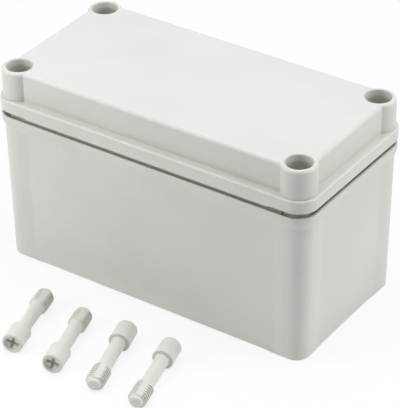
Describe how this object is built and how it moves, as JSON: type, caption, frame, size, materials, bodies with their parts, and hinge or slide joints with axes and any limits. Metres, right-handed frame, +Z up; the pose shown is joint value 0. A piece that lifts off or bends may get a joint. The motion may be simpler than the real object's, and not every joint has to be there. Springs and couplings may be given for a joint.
{
  "type": "junction box",
  "caption": "Deep rectangular plastic enclosure with drafted walls, corner columns, a flared rim, a gasketed lift-off lid with screw pillars, and its loose plastic lid screws.",
  "frame": {"origin": "middle of the underside of the base", "axes": "+X along the length of the box, +Z up through the lid, the loose screws lie on the -Y side"},
  "size_m": [0.16, 0.1415, 0.095],
  "materials": {
    "shell": "satin light grey moulding",
    "seal": "matt grey rubber",
    "screw": "satin warm light grey moulding"
  },
  "bodies": {
    "base": {"base": "shell", "lid_screws": "screw"},
    "lid": {"lid": "shell", "gasket": "seal"}
  },
  "joints": [
    {"name": "lid_lift", "type": "slide", "parent": "base", "child": "lid", "axis": [0, 0, 1], "range_m": [0, 0.12]}
  ]
}
